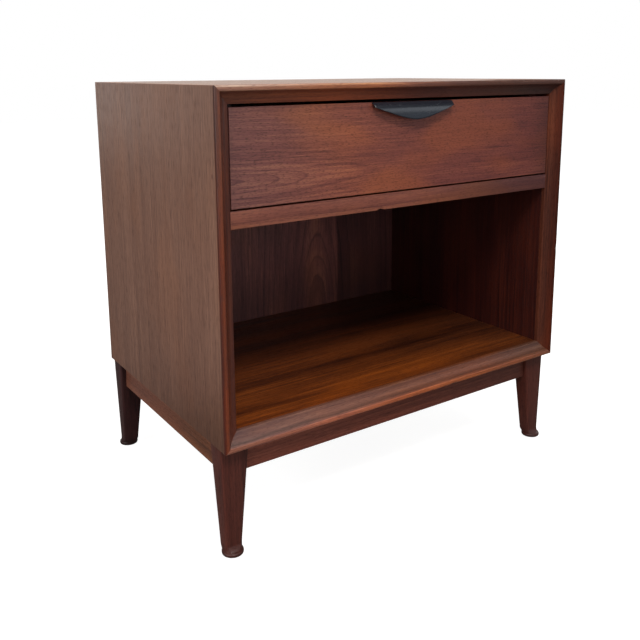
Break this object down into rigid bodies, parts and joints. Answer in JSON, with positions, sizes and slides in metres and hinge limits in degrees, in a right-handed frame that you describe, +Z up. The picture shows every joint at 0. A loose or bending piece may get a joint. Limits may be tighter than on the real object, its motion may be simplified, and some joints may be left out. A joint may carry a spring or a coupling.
{
  "type": "nightstand",
  "caption": "Walnut nightstand with a mitred bevelled case, an inset drawer with a black leaf-shaped pull, an open compartment below and tapered legs with toes.",
  "frame": {"origin": "on the floor, under the middle of the case", "axes": "+X to the right along the width as seen from the front, +Y from the front to the rear, +Z up"},
  "size_m": [0.61, 0.406, 0.602],
  "materials": {
    "walnut_veneer": "satin lacquered walnut veneer",
    "walnut_solid": "satin lacquered solid walnut",
    "drawer_wood": "sealed pale hardwood",
    "plywood": "sealed plywood",
    "pull_black": "satin black lacquer",
    "screw_steel": "zinc plated",
    "glide_nylon": "moulded dark brown"
  },
  "bodies": {
    "case": {"back_panel": "plywood", "back_screw_bottom": "screw_steel", "back_screw_left_lower": "screw_steel", "back_screw_left_upper": "screw_steel", "back_screw_right_lower": "screw_steel", "back_screw_right_upper": "screw_steel", "back_screw_top": "screw_steel", "base_screw_front_left": "screw_steel", "base_screw_front_right": "screw_steel", "base_screw_rear_left": "screw_steel", "base_screw_rear_right": "screw_steel", "bottom_front_edging": "walnut_solid", "bottom_panel": "walnut_veneer", "corner_block_front_left": "drawer_wood", "corner_block_front_right": "drawer_wood", "corner_block_rear_left": "drawer_wood", "corner_block_rear_right": "drawer_wood", "divider_edging": "walnut_solid", "divider_panel": "walnut_veneer", "drawer_guide_rail": "drawer_wood", "drawer_kicker_left": "drawer_wood", "drawer_kicker_right": "drawer_wood", "drawer_stop_left": "drawer_wood", "drawer_stop_right": "drawer_wood", "front_apron": "walnut_solid", "glide_front_left": "glide_nylon", "glide_front_right": "glide_nylon", "glide_rear_left": "glide_nylon", "glide_rear_right": "glide_nylon", "left_apron": "walnut_solid", "left_front_edging": "walnut_solid", "left_side_panel": "walnut_veneer", "leg_front_left": "walnut_solid", "leg_front_right": "walnut_solid", "leg_rear_left": "walnut_solid", "leg_rear_right": "walnut_solid", "mitre_spline_bottom_left": "plywood", "mitre_spline_bottom_right": "plywood", "mitre_spline_top_left": "plywood", "mitre_spline_top_right": "plywood", "rear_apron": "walnut_solid", "right_apron": "walnut_solid", "right_front_edging": "walnut_solid", "right_side_panel": "walnut_veneer", "top_front_edging": "walnut_solid", "top_panel": "walnut_veneer"},
    "drawer": {"drawer_front": "walnut_veneer", "drawer_back": "drawer_wood", "drawer_side_left": "drawer_wood", "drawer_side_right": "drawer_wood", "drawer_bottom": "plywood", "drawer_guide_strip_left": "drawer_wood", "drawer_guide_strip_right": "drawer_wood", "drawer_pull": "pull_black", "pull_screw_left": "screw_steel", "pull_screw_right": "screw_steel", "drawer_bottom_screw_left": "screw_steel", "drawer_bottom_screw_right": "screw_steel"}
  },
  "joints": [
    {"name": "drawer_slide", "type": "slide", "parent": "case", "child": "drawer", "axis": [0, -1, 0], "range_m": [0, 0.28]}
  ]
}
